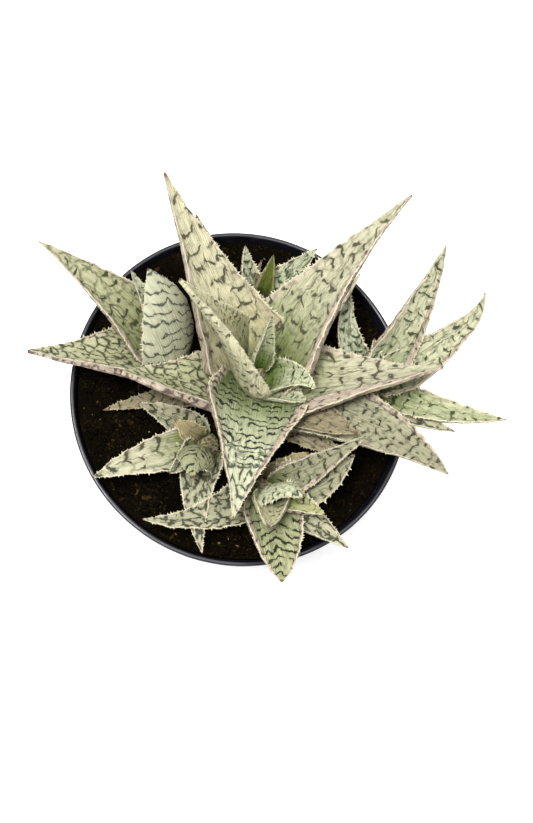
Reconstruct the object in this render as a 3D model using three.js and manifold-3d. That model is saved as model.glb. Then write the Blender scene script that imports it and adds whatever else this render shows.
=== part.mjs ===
// A blizzard aloe: six spotted rosettes of stiff, toothed leaves in a round black nursery pot.
// Millimetres, +Z up. The origin is the centre of the flat underside of the pot.
// +X is east and +Y is north in the names of the leaves, seen from above.
import * as THREE from 'three';
import { mergeVertices } from 'three/addons/utils/BufferGeometryUtils.js';
import Module from 'manifold-3d';

const wasm = await Module();
wasm.setup();

// The clearance between neighbours
const GAP = 0.3;

// The nursery pot
const POT_HEIGHT = 118;
const POT_TOP_RADIUS = 76;
const POT_BASE_RADIUS = 51;
const POT_WALL = 1.5;
const POT_FLOOR = 2.4;
const LIP_WIDTH = 2.1;
const LIP_DROP = 2.6;
const LIP_ROUND = 0.8;
const FOOT_ROUND = 1;
const POT_SEGMENTS = 48;
const DRAIN_COUNT = 8;
const DRAIN_RADIUS = 4.5;
const DRAIN_RING = 40;
const DRAIN_SEGMENTS = 12;

// The potting mix
const SOIL_EDGE = 111.5;
const SOIL_CROWN = 113;
const SOIL_SEGMENTS = 32;
const SOIL_RINGS = [1, 0.72, 0.45, 0];
const SOCKET_DEPTH = 14;

// The leaf blade
const STATIONS = [0, 0.12, 0.28, 0.48, 0.7, 0.9];
const ACROSS = [-1, -0.6, 0, 0.6, 1];
const WIDEST_AT = 0.16;
const BASE_SHARE = 0.8;
const ROOT_REACH = 0.6;
const STRAIGHT_TAPER = 0.15;
const EDGE_THICKNESS = 0.9;
const TIP_THICKNESS_SHARE = 0.3;
const CURL_LEFT_AT_TIP = 0.45;
const LEAF_TRIM = 0.06;
const STEM_SEGMENTS = 10;

// Each stem: where it leaves the mix, where it ends, and its radius at the mix
const STEMS = {
  main: { foot: [7, 5], head: [6, 8, 138], radius: 9 },
  west: { foot: [-27, 18], head: [-31, 20, 123], radius: 6.5 },
  southwest: { foot: [-15, -21], head: [-18, -24, 124], radius: 6 },
  south: { foot: [11, -40], head: [11, -46, 129], radius: 6.5 },
  east: { foot: [58, 5], head: [61, 6, 127], radius: 6.5 },
  north: { foot: [9, 42], head: [10, 46, 122], radius: 4.5 },
};
const STEM_TOP_SHARE = 0.22;
const STEM_ROOT_SHARE = 0.6;
const STEM_SHOULDER = 0.55;

// Each leaf, innermost first in its rosette.
// seat: height of its root. face: the way it faces, in degrees from east.
// tip: where it ends. bow: how far its middle swings out, left and up.
// wide, thick: the blade. curl: how far it wraps, in degrees.
// roll, twist: how far its left edge is raised at the root, and how much more at the tip, 0 if left out.
// taper: how much fuller than a straight taper its outline is, STRAIGHT_TAPER if left out.
const LEAVES = [
  { name: 'main_leaf_core', stem: 'main', seat: 136, face: 100, tip: [6, 22.5, 172],
    bow: [0, 0, 0], wide: 11, thick: 3, curl: 150 },
  { name: 'main_leaf_inner_east', stem: 'main', seat: 128, face: 330, tip: [27, -5, 156],
    bow: [-3, 7, 8], wide: 17, thick: 3, curl: 90, roll: 13 },
  { name: 'main_leaf_inner_sheath', stem: 'main', seat: 129, face: 305, tip: [25, -8, 146],
    bow: [1, 0, -3], wide: 20, thick: 2.8, curl: 120 },
  { name: 'main_leaf_inner_west', stem: 'main', seat: 126, face: 152, tip: [-35, 34, 188],
    bow: [-12, -2, 0], wide: 42, thick: 6.5, curl: 105, roll: 36, twist: 17, taper: 0 },
  { name: 'main_leaf_south', stem: 'main', seat: 128, face: 256, tip: [-9, -61, 150],
    bow: [4, 0, 8], wide: 50, thick: 6, curl: 108, taper: -0.54 },
  { name: 'main_leaf_north_east', stem: 'main', seat: 125, face: 33, tip: [64, 73, 190],
    bow: [-4, 7, -3], wide: 46, thick: 7, curl: 60, roll: -21, taper: -0.44 },
  { name: 'main_leaf_east', stem: 'main', seat: 122, face: 349, tip: [81, 4, 166],
    bow: [1, -2, -5], wide: 43, thick: 6, curl: 57, roll: -6, twist: -34, taper: -0.1 },
  { name: 'main_leaf_north_west', stem: 'main', seat: 122, face: 121, tip: [-40, 83, 179],
    bow: [-3, 2, 0], wide: 46, thick: 7, curl: 97, roll: 8, twist: 4, taper: -0.36 },
  { name: 'main_leaf_west', stem: 'main', seat: 116.5, face: 184, tip: [-57, 2, 157],
    bow: [0, 4, -3], wide: 37, thick: 7.5, curl: 92, roll: 8, twist: 42, taper: 0.2 },
  { name: 'main_leaf_tucked', stem: 'main', seat: 115.5, face: 20, tip: [45, 44, 168],
    bow: [2, -4, 0], wide: 17, thick: 3.6, curl: 100, roll: -30 },
  { name: 'main_leaf_old_grey', stem: 'main', seat: 115, face: 318, tip: [47, -22, 146],
    bow: [0, 0, 0], wide: 24, thick: 3, curl: 60, taper: 0.6 },
  { name: 'main_leaf_south_east', stem: 'main', seat: 115, face: 335, tip: [83, -42, 160],
    bow: [8, 13, -2], wide: 34, thick: 5.5, curl: 80, taper: 0.4 },
  { name: 'main_leaf_old_dark', stem: 'main', seat: 113.5, face: 318, tip: [44.5, -27.5, 125],
    bow: [0, -4, 1], wide: 24, thick: 2.6, curl: 60, taper: 0.3 },
  { name: 'main_leaf_old_west', stem: 'main', seat: 113.5, face: 190, tip: [-62, -8, 121],
    bow: [0, -3, 1], wide: 15, thick: 2.2, curl: 60, taper: 0.3 },
  { name: 'main_leaf_north', stem: 'main', seat: 116, face: 114, tip: [-24, 72, 156],
    bow: [0, 5, 0], wide: 32, thick: 4, curl: 90, taper: 0.5 },

  { name: 'west_leaf_striped', stem: 'west', seat: 119, face: 335, tip: [-46, 45, 163],
    bow: [9, -6, 6], wide: 43, thick: 4, curl: 110, taper: 0.8 },
  { name: 'west_leaf_slim', stem: 'west', seat: 119, face: 130, tip: [-52, 48, 150],
    bow: [0, 0, 0], wide: 12, thick: 2.6, curl: 100 },
  { name: 'west_leaf_north_west', stem: 'west', seat: 116, face: 146, tip: [-92, 56, 162],
    bow: [1, -5, 0], wide: 33, thick: 5, curl: 72, roll: 7, taper: -0.3 },
  { name: 'west_leaf_long', stem: 'west', seat: 114.5, face: 190, tip: [-96, 11, 152],
    bow: [0, 2, 0], wide: 41, thick: 7, curl: 84, roll: 30, twist: 8, taper: -0.2 },

  { name: 'southwest_leaf_core', stem: 'southwest', seat: 121, face: 250, tip: [-24, -40.5, 137],
    bow: [0, -5, 8], wide: 20, thick: 3, curl: 150, roll: 180, taper: 0.2 },
  { name: 'southwest_leaf_small', stem: 'southwest', seat: 119, face: 215, tip: [-34, -38, 133],
    bow: [0, 0, 0], wide: 14, thick: 2.8, curl: 100 },
  { name: 'southwest_leaf_west', stem: 'southwest', seat: 117, face: 195, tip: [-67, -40, 132],
    bow: [0, -3, 4], wide: 20, thick: 3.2, curl: 80, taper: 0.4 },
  { name: 'southwest_leaf_south', stem: 'southwest', seat: 115.5, face: 280, tip: [-19, -72, 126],
    bow: [-4, -8, 10], wide: 20, thick: 3.6, curl: 95, taper: 0.1 },
  { name: 'southwest_leaf_broad', stem: 'southwest', seat: 115, face: 146, tip: [-47, -6, 127],
    bow: [0, -4, 3], wide: 18, thick: 3, curl: 70 },
  { name: 'southwest_leaf_dry', stem: 'southwest', seat: 119, face: 140, tip: [-31, -13, 127],
    bow: [0, 0, 3], wide: 12, thick: 2, curl: 60 },

  { name: 'south_leaf_hood', stem: 'south', seat: 127, face: 170, tip: [22, -51, 146],
    bow: [1, -5, 7], wide: 20, thick: 2.6, curl: 110, roll: -55, taper: 0.6 },
  { name: 'south_leaf_core', stem: 'south', seat: 126, face: 270, tip: [6, -64, 152],
    bow: [4, 0, 6], wide: 18, thick: 3, curl: 140 },
  { name: 'south_leaf_inner', stem: 'south', seat: 124, face: 335, tip: [32, -57, 144],
    bow: [0, 0, 1], wide: 16, thick: 3.2, curl: 100, roll: -20 },
  { name: 'south_leaf_front', stem: 'south', seat: 122, face: 273, tip: [13, -86, 142],
    bow: [6, 1, 4], wide: 28, thick: 3.8, curl: 90, taper: 0.6 },
  { name: 'south_leaf_east', stem: 'south', seat: 121, face: 30, tip: [48, -25, 157],
    bow: [0, -2, -2], wide: 15.5, thick: 3.6, curl: 100, taper: 0.3 },
  { name: 'south_leaf_south_east', stem: 'south', seat: 118, face: 320, tip: [44, -70, 133],
    bow: [0, 0, 3], wide: 18, thick: 3.4, curl: 80, taper: 0.3 },
  { name: 'south_leaf_west', stem: 'south', seat: 118, face: 194, tip: [-46, -58, 134],
    bow: [2, 10, 3], wide: 20, thick: 3.8, curl: 78, taper: -0.1 },
  { name: 'south_leaf_under', stem: 'south', seat: 116.5, face: 15, tip: [46, -30, 142],
    bow: [0, -11, 0], wide: 25, thick: 3.6, curl: 80, taper: 0.4 },
  { name: 'south_leaf_crumpled', stem: 'south', seat: 116, face: 60, tip: [29, -26, 124],
    bow: [0, 0, 3], wide: 15, thick: 2.6, curl: 90, taper: 0.4 },

  { name: 'east_leaf_small', stem: 'east', seat: 125, face: 120, tip: [57, 23, 138],
    bow: [0, 0, 0], wide: 11, thick: 2.6, curl: 120 },
  { name: 'east_leaf_north', stem: 'east', seat: 121, face: 73, tip: [79, 52, 186],
    bow: [2, -5, -1], wide: 20, thick: 4.6, curl: 100, taper: 0.2 },
  { name: 'east_leaf_hooked', stem: 'east', seat: 121, face: 42, tip: [99, 36, 171],
    bow: [8, -12, 3], wide: 20, thick: 4.4, curl: 92, taper: 0.1 },
  { name: 'east_leaf_long', stem: 'east', seat: 117.5, face: 335, tip: [113, -15, 148],
    bow: [4, -4, 1], wide: 15, thick: 4, curl: 78, taper: 0.35 },
  { name: 'east_leaf_low', stem: 'east', seat: 115.5, face: 316, tip: [93, -18, 135],
    bow: [0, -4, 2], wide: 14, thick: 3, curl: 70 },
  { name: 'east_leaf_behind', stem: 'east', seat: 116, face: 114, tip: [45, 46, 148],
    bow: [0, 10, 0], wide: 16, thick: 3.6, curl: 80 },

  { name: 'north_leaf_green', stem: 'north', seat: 121, face: 80, tip: [12.5, 60, 138],
    bow: [0, 0, 0], wide: 8, thick: 2.6, curl: 100 },
  { name: 'north_leaf_dried', stem: 'north', seat: 119.5, face: 105, tip: [7, 55.5, 127],
    bow: [0, 1, 1], wide: 7, thick: 1.6, curl: 80 },
  { name: 'north_leaf_west', stem: 'north', seat: 118, face: 125, tip: [0, 64, 138],
    bow: [0, 3, 0], wide: 11, thick: 2.8, curl: 80, taper: 0.4 },
  { name: 'north_leaf_east', stem: 'north', seat: 117, face: 42, tip: [32, 63, 140],
    bow: [0, 0, 0], wide: 16, thick: 3, curl: 80, taper: 0.3 },
  { name: 'north_leaf_thin', stem: 'north', seat: 114.5, face: 115, tip: [9.4, 61, 127],
    bow: [0, 5, -2], wide: 6, thick: 1.8, curl: 40 },
];

const MATERIALS = {
  pot: new THREE.MeshStandardMaterial({ color: 0x17161c, roughness: 0.35, metalness: 0 }),
  soil: new THREE.MeshStandardMaterial({ color: 0x1a140e, roughness: 0.95, metalness: 0 }),
  stem: new THREE.MeshStandardMaterial({ color: 0x8f9a62, roughness: 0.8, metalness: 0 }),
  leaf: new THREE.MeshStandardMaterial({ color: 0xc3cdb2, roughness: 0.55, metalness: 0 }),
};

const radians = THREE.MathUtils.degToRad;
const UP = new THREE.Vector3(0, 0, 1);

// A closed solid from a three.js geometry
function solidOf(geometry) {
  const bare = geometry.clone();
  bare.deleteAttribute('normal');
  bare.deleteAttribute('uv');
  const merged = mergeVertices(bare, 1e-4);
  return new wasm.Manifold(new wasm.Mesh({
    numProp: 3,
    vertProperties: new Float32Array(merged.attributes.position.array),
    triVerts: new Uint32Array(merged.index.array),
  }));
}

// A three.js geometry from a closed solid
function geometryOf(solid) {
  const mesh = solid.getMesh();
  const geometry = new THREE.BufferGeometry();
  geometry.setAttribute('position', new THREE.BufferAttribute(mesh.vertProperties, 3));
  geometry.setIndex(new THREE.BufferAttribute(mesh.triVerts, 1));
  return geometry;
}

// A profile of [radius, height] points turned around the vertical axis
function turned(profile, segments) {
  const points = profile.map(([radius, height]) => new THREE.Vector2(radius, height));
  return new THREE.LatheGeometry(points, segments).rotateX(Math.PI / 2);
}

// The radius of the inside of the pot at a height
function potInside(height) {
  const share = height / POT_HEIGHT;
  const top = POT_TOP_RADIUS - LIP_WIDTH;
  return THREE.MathUtils.lerp(POT_BASE_RADIUS - POT_WALL, top, share);
}

// The thin-walled pot: flat underside with drain holes, tapering wall, narrow rounded lip
function potSolid() {
  const outside = (height) => potInside(height) + POT_WALL;
  const underLip = POT_HEIGHT - LIP_DROP;
  const profile = [
    [0, 0],
    [POT_BASE_RADIUS - FOOT_ROUND, 0],
    [POT_BASE_RADIUS, FOOT_ROUND],
    [outside(underLip - LIP_ROUND), underLip - LIP_ROUND],
    [POT_TOP_RADIUS - LIP_ROUND, underLip],
    [POT_TOP_RADIUS, underLip + LIP_ROUND],
    [POT_TOP_RADIUS, POT_HEIGHT - LIP_ROUND],
    [POT_TOP_RADIUS - LIP_ROUND, POT_HEIGHT],
    [potInside(POT_HEIGHT) + LIP_ROUND / 2, POT_HEIGHT],
    [potInside(POT_HEIGHT), POT_HEIGHT - LIP_ROUND],
    [potInside(POT_FLOOR), POT_FLOOR],
    [0, POT_FLOOR],
  ];
  let pot = solidOf(turned(profile, POT_SEGMENTS));
  for (let i = 0; i < DRAIN_COUNT; i += 1) {
    const angle = (i + 0.5) * 2 * Math.PI / DRAIN_COUNT;
    const drill = new THREE.CylinderGeometry(DRAIN_RADIUS, DRAIN_RADIUS, 3 * POT_FLOOR, DRAIN_SEGMENTS);
    drill.rotateX(Math.PI / 2);
    drill.translate(DRAIN_RING * Math.cos(angle), DRAIN_RING * Math.sin(angle), 0);
    pot = pot.subtract(solidOf(drill));
  }
  return pot;
}

// The potting mix fills the pot to a low crown; grown makes it larger by that much at its top
function soilSolid(grown) {
  const foot = POT_FLOOR + GAP;
  const edge = potInside(SOIL_EDGE) - GAP;
  const crown = SOIL_CROWN - SOIL_EDGE;
  const top = SOIL_RINGS.map((share) => [share * edge, SOIL_EDGE + crown * (1 - share * share) + grown]);
  return solidOf(turned([[0, foot], [potInside(foot) - GAP, foot], ...top], SOIL_SEGMENTS));
}

// The radius of a stem at a share of its height above the mix
function stemRadius(stem, rise) {
  const past = Math.max(rise - STEM_SHOULDER, 0) / (1 - STEM_SHOULDER);
  return stem.radius * THREE.MathUtils.lerp(1, STEM_TOP_SHARE, past);
}

// A short fleshy stem that leans from the mix to its head
function stemSolid(stem, grown) {
  const foot = new THREE.Vector3(...stem.foot, SOIL_EDGE - SOCKET_DEPTH - grown);
  const head = new THREE.Vector3(...stem.head);
  const axis = head.clone().sub(foot);
  const length = axis.length();
  const buried = SOCKET_DEPTH / length;
  const profile = [
    [0, 0],
    [STEM_ROOT_SHARE * stem.radius + grown, 0],
    [stem.radius + grown, buried * length],
    [stem.radius + grown, THREE.MathUtils.lerp(buried, 1, STEM_SHOULDER) * length],
    [STEM_TOP_SHARE * stem.radius + grown, length + grown],
    [0, length + grown],
  ];
  const turn = new THREE.Quaternion().setFromUnitVectors(UP, axis.normalize());
  const body = turned(profile, STEM_SEGMENTS).applyQuaternion(turn).translate(foot.x, foot.y, foot.z);
  return solidOf(body);
}

// The middle line of a leaf, and the way it faces
function leafPath(leaf) {
  const stem = STEMS[leaf.stem];
  const face = radians(leaf.face);
  const out = new THREE.Vector3(Math.cos(face), Math.sin(face), 0);
  const left = new THREE.Vector3(-Math.sin(face), Math.cos(face), 0);
  const rise = (leaf.seat - SOIL_EDGE) / (stem.head[2] - SOIL_EDGE);
  const root = new THREE.Vector3(...stem.foot, SOIL_EDGE).lerp(new THREE.Vector3(...stem.head), rise);
  root.addScaledVector(out, ROOT_REACH * stemRadius(stem, rise));
  const tip = new THREE.Vector3(...leaf.tip);
  const middle = root.clone().add(tip).multiplyScalar(0.5);
  const [outwards, leftwards, upwards] = leaf.bow;
  middle.addScaledVector(out, outwards).addScaledVector(left, leftwards).addScaledVector(UP, upwards);
  return { curve: new THREE.QuadraticBezierCurve3(root, middle, tip), left };
}

// How much of its full width a leaf has at a share of its length
function widthShare(along, taper) {
  if (along < WIDEST_AT) {
    return THREE.MathUtils.lerp(BASE_SHARE, 1, THREE.MathUtils.smoothstep(along, 0, WIDEST_AT));
  }
  const rest = (along - WIDEST_AT) / (1 - WIDEST_AT);
  return (1 - rest) * (1 + taper * rest);
}

// One ring of points around the channelled blade
function leafRing(leaf, path, along) {
  const centre = path.curve.getPoint(along);
  const tangent = path.curve.getTangent(along);
  const flatLeft = path.left.clone().addScaledVector(tangent, -path.left.dot(tangent)).normalize();
  const flatUp = tangent.clone().cross(flatLeft);
  const roll = radians((leaf.roll ?? 0) + (leaf.twist ?? 0) * along);
  const left = flatLeft.clone().multiplyScalar(Math.cos(roll)).addScaledVector(flatUp, Math.sin(roll));
  const inner = flatUp.clone().multiplyScalar(Math.cos(roll)).addScaledVector(flatLeft, -Math.sin(roll));
  const share = widthShare(along, leaf.taper ?? STRAIGHT_TAPER);
  const wide = leaf.wide * share;
  const wrap = radians(leaf.curl * (1 - (1 - CURL_LEFT_AT_TIP) * along));
  const bend = wide / wrap;
  const thick = leaf.thick * (TIP_THICKNESS_SHARE + (1 - TIP_THICKNESS_SHARE) * share);
  const upper = [];
  const lower = [];
  for (const side of ACROSS) {
    const angle = side * wrap / 2;
    const point = centre.clone()
      .addScaledVector(left, bend * Math.sin(angle))
      .addScaledVector(inner, bend * (1 - Math.cos(angle)));
    const normal = inner.clone().multiplyScalar(Math.cos(angle)).addScaledVector(left, -Math.sin(angle));
    const depth = EDGE_THICKNESS + Math.max(thick - EDGE_THICKNESS, 0) * Math.sqrt(1 - side * side);
    upper.push(point);
    lower.push(point.clone().addScaledVector(normal, -depth));
  }
  return [...upper, ...lower.reverse()];
}

// A closed leaf; grown moves its whole skin outwards
function leafSolid(leaf, grown) {
  const path = leafPath(leaf);
  const rings = STATIONS.map((along) => leafRing(leaf, path, along));
  const size = rings[0].length;
  const points = [...rings.flat(), new THREE.Vector3(...leaf.tip)];
  const tip = points.length - 1;
  const last = (rings.length - 1) * size;
  const faces = [];
  for (let i = 0; i < size; i += 1) {
    const next = (i + 1) % size;
    for (let ring = 0; ring < rings.length - 1; ring += 1) {
      const here = ring * size;
      const there = here + size;
      faces.push([here + i, there + i, here + next], [here + next, there + i, there + next]);
    }
    faces.push([last + i, tip, last + next]);
  }
  for (let i = 0; i < ACROSS.length - 1; i += 1) {
    const across = size - 1 - i;
    faces.push([i, i + 1, across], [across, i + 1, across - 1]);
  }
  const geometry = new THREE.BufferGeometry().setFromPoints(points);
  geometry.setIndex(faces.flat());
  geometry.computeVertexNormals();
  if (grown > 0) {
    const place = geometry.attributes.position;
    const normal = geometry.attributes.normal;
    for (let i = 0; i < place.count; i += 1) {
      place.setXYZ(i, place.getX(i) + grown * normal.getX(i), place.getY(i) + grown * normal.getY(i),
        place.getZ(i) + grown * normal.getZ(i));
    }
  }
  return solidOf(geometry);
}

// The largest body of a cut solid
function largest(solid) {
  const bodies = solid.decompose();
  return bodies.reduce((best, body) => (body.volume() > best.volume() ? body : best));
}

const plant = new THREE.Group();

function addPiece(name, solid, material) {
  const mesh = new THREE.Mesh(geometryOf(solid), material);
  mesh.name = name;
  plant.add(mesh);
}

addPiece('pot', potSolid(), MATERIALS.pot);

let soil = soilSolid(0);
const grownParts = [soilSolid(GAP)];
for (const [name, stem] of Object.entries(STEMS)) {
  const grown = stemSolid(stem, GAP);
  soil = soil.subtract(grown);
  grownParts.push(grown);
  addPiece(`${name}_stem`, stemSolid(stem, 0), MATERIALS.stem);
}
addPiece('soil', largest(soil), MATERIALS.soil);

for (const leaf of LEAVES) {
  let body = leafSolid(leaf, 0);
  for (const neighbour of grownParts) {
    body = body.subtract(neighbour);
  }
  addPiece(leaf.name, largest(body.simplify(LEAF_TRIM)), MATERIALS.leaf);
  grownParts.push(leafSolid(leaf, GAP));
}

export default plant;
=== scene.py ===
"""The looks of a potted blizzard aloe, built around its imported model.

Lengths are millimetres until new_piece() turns them into Blender's metres.
+X is east and +Y is north, seen from above. +Z is up from the underside of the pot.
"""
import math
from dataclasses import dataclass

import bpy
import numpy as np
from mathutils import Matrix, Vector


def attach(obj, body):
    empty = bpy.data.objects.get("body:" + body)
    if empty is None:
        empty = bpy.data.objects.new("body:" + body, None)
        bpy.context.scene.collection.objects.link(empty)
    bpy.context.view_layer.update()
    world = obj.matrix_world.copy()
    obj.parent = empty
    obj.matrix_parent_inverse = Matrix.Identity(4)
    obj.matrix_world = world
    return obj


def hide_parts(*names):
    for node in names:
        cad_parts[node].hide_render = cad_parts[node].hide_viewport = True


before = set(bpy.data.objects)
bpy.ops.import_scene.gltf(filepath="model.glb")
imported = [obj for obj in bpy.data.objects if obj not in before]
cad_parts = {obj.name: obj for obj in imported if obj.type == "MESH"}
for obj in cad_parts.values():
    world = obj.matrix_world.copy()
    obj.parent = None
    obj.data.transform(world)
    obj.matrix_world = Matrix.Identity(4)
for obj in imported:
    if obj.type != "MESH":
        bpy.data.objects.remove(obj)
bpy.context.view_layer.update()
METRE = 0.001
UP = np.array([0.0, 0.0, 1.0])

# The photograph's camera: it looks down on the rim, leaning towards the north-east
CAMERA_AIM = (11.3, -6.7, 118.0)
CAMERA_DISTANCE = 900.0
CAMERA_LEAN = math.radians(15.0)
CAMERA_BEARING = math.radians(54.0)
CAMERA_LENS = 88.45

# The pot and the potting mix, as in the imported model
POT_HEIGHT = 118.0
POT_TOP_RADIUS = 76.0
POT_BASE_RADIUS = 51.0
POT_WALL = 1.5
POT_FLOOR = 2.4
LIP_WIDTH = 2.1
LIP_DROP = 2.6
LIP_ROUND = 0.8
LIP_SLACK = 0.2
FOOT_ROUND = 1.0
POT_SEGMENTS = 192
WALL_FROM = 6.0
WALL_RINGS = 12
DRAIN_COUNT = 8
DRAIN_RADIUS = 4.5
DRAIN_RING = 40.0
DRAIN_BAND = 6.0
SOIL_EDGE = 111.5
SOIL_GAP = 0.3

# Each stem: where it leaves the mix, where it ends, and its radius at the mix
STEMS = {
    "main": ((7, 5), (6, 8, 138), 9),
    "west": ((-27, 18), (-31, 20, 123), 6.5),
    "southwest": ((-15, -21), (-18, -24, 124), 6),
    "south": ((11, -40), (11, -46, 129), 6.5),
    "east": ((58, 5), (61, 6, 127), 6.5),
    "north": ((9, 42), (10, 46, 122), 4.5),
}
STEM_TOP_SHARE = 0.22
STEM_SHOULDER = 0.55
STEM_SOCKET = 14.0
STEM_ROOT_SHARE = 0.6
STEM_KNEE_SHARE = 0.8
STEM_ROUNDING = 0.8
STEM_END = 0.97
STEM_RINGS = 12
STEM_SEGMENTS = 24

# The grain of the mix: size, count, lowest and highest tint, flatness and length
SOIL_SEED = 77
SOIL_RINGS = 90
SOIL_SEGMENTS = 256
SOIL_CRUMB_KINDS = [
    (1.5, 800, 0.0, 0.22, 0.6, 1.3),
    (0.7, 1300, 0.0, 0.4, 0.6, 1.4),
    (0.8, 160, 0.3, 0.65, 0.35, 2.2),
    (0.4, 420, 0.4, 0.75, 0.5, 1.8),
    (0.5, 12, 0.93, 0.95, 0.7, 1.2),
    (0.7, 5, 1.0, 1.0, 0.8, 1.2),
]
SOIL_FIBRES = 150
SOIL_LIFT = 0.8
SOIL_BANK = 2.6
LUMP_HEIGHT = 0.6
GRAIN_HEIGHT = 0.5
CRUMB_LIFT = 0.25
FIBRE_STEPS = 6
FIBRE_SIDES = 4

# The studio
WORLD_STRENGTH = 0.3
FLOOR_GLOW = 0.6
FLOOR_WHITE = (0.92, 0.92, 0.92, 1)
FLOOR_SIZE = 6.0
LAMP_AIM = (0, 0, 0.12)
LAMPS = [
    ("key", (-0.5, -0.1, 1.8), 0.5, 50),
    ("fill", (0.3, 0.4, 1.7), 1.2, 12),
]

# The leaf blade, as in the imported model
WIDEST_AT = 0.16
BASE_SHARE = 0.8
ROOT_REACH = 0.6
TIP_THICKNESS_SHARE = 0.3
CURL_LEFT_AT_TIP = 0.45

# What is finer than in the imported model
EDGE_THICKNESS = 0.6
EDGE_LEFT_AT_TIP = 0.35
EDGE_GAIN = 2.5
SIDE_BULGE = 0.22
FOOT_SHARE = 0.1
FOOT_DROP = 9.0
FOOT_RINGS = 6
FOOT_BACK = 2.5
FOOT_BEND = 1.5
FOOT_NARROWING = 0.55
HOOK_FROM = 0.55
HOOK_GAIN = 4.0
FURROW_SHARE = 0.55
FINE_SHARE = 0.22
JAG_SHARE = 0.9
CALM_TIP = 18.0
CALM_ROOT = 10.0

# How finely a leaf is meshed
LEAF_SEED = 1000
LEAF_STEP = 0.9
LEAF_UPPER_COLUMNS = 25
LEAF_LOWER_COLUMNS = 17
LEAF_EDGE_ANGLES = (45, 90, 135)
LAST_RING = 0.985
LEAST_RINGS = 24
LINE_STEPS = 200

# The teeth along a leaf's margins
TOOTH_SPACING = 1.35
TOOTH_SIDES = 6
TEETH_END = 0.95
TOOTH_GAPS = (0.5, 1.5)
TOOTH_HEIGHTS = (0.5, 1.3)
TOOTH_LEANS = (-0.1, 0.35)
TOOTH_HOOKS = (1, 1, 1, -0.6)
TOOTH_HOOK = 0.4
TOOTH_SINK = 0.4
TOOTH_WAIST = 0.42

# Length of the unevenness across and along a leaf
RIPPLES = (16, 22)
FURROWS = (5, 90)
FINE_LINES = (2.2, 45)
JAGS = (9, 5)


@dataclass
class Leaf:
    """One leaf: its blade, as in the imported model, and how it looks."""

    name: str
    look: str
    seat: float
    face: float
    tip: tuple
    bow: tuple
    wide: float
    thick: float
    curl: float
    roll: float = 0
    twist: float = 0
    taper: float = 0.15
    teeth: float = 1.6
    ripple: float = 0.3
    hook: float = 0
    strips: tuple = (0, 0)


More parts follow.
